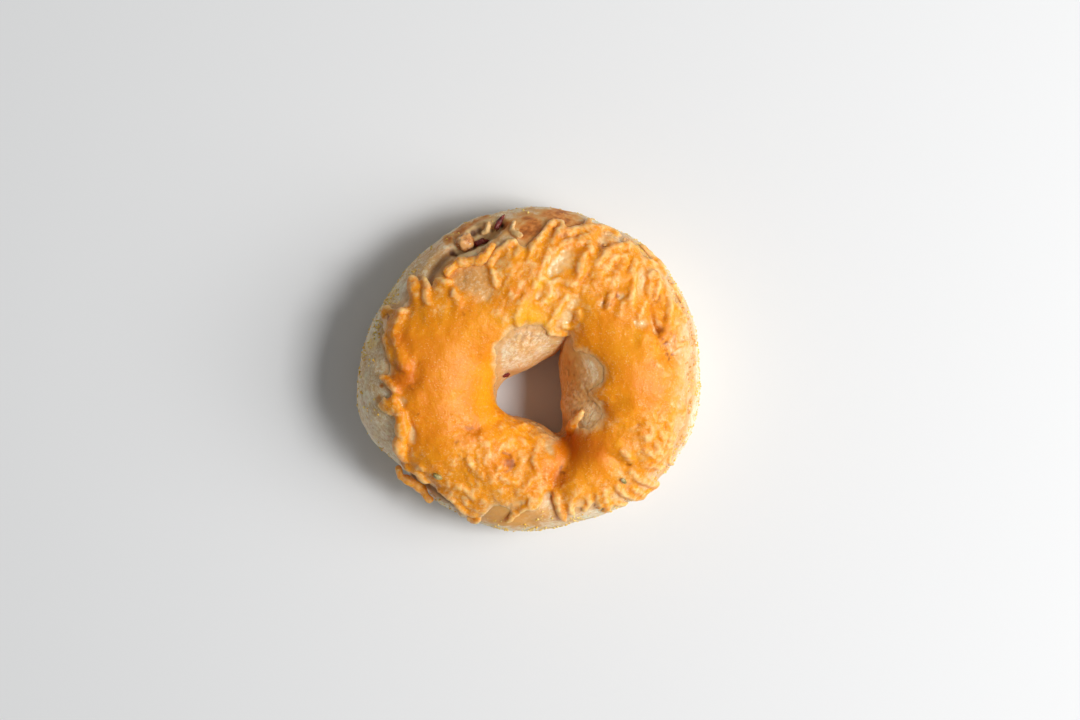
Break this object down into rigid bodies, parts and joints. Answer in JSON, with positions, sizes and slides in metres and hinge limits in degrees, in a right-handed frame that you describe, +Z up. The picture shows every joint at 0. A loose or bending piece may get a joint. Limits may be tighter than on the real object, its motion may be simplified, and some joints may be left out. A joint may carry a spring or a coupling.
{
  "type": "cheese-topped bagel",
  "caption": "Round baked bagel with an off-centre hole, a melted shredded-cheese topping and a torn crust pocket at the rim.",
  "frame": {"origin": "centre of the outline on the flat base that the bagel rests on", "axes": "+Z up out of the cheese-topped side; the hole's pinched corner points between +X and +Y, and the torn pocket is near +Y towards -X"},
  "size_m": [0.105, 0.0982, 0.0394],
  "materials": {
    "bread_crust": "satin",
    "melted_cheese": "satin",
    "dried_cheese": "satin",
    "toasted_nugget": "satin",
    "red_filling": "satin",
    "green_filling": "satin"
  },
  "bodies": {
    "root": {"bread_ring": "bread_crust", "melted_cheese": "melted_cheese", "hanging_cheese_shred": "melted_cheese", "stray_cheese_shred": "dried_cheese", "rim_cheese_shred": "dried_cheese", "pocket_cheese_shred": "dried_cheese", "filling_nugget": "toasted_nugget", "red_filling_bit_1": "red_filling", "red_filling_bit_2": "red_filling", "red_filling_bit_3": "red_filling", "green_filling_bit_1": "green_filling", "green_filling_bit_2": "green_filling"}
  },
  "joints": []
}
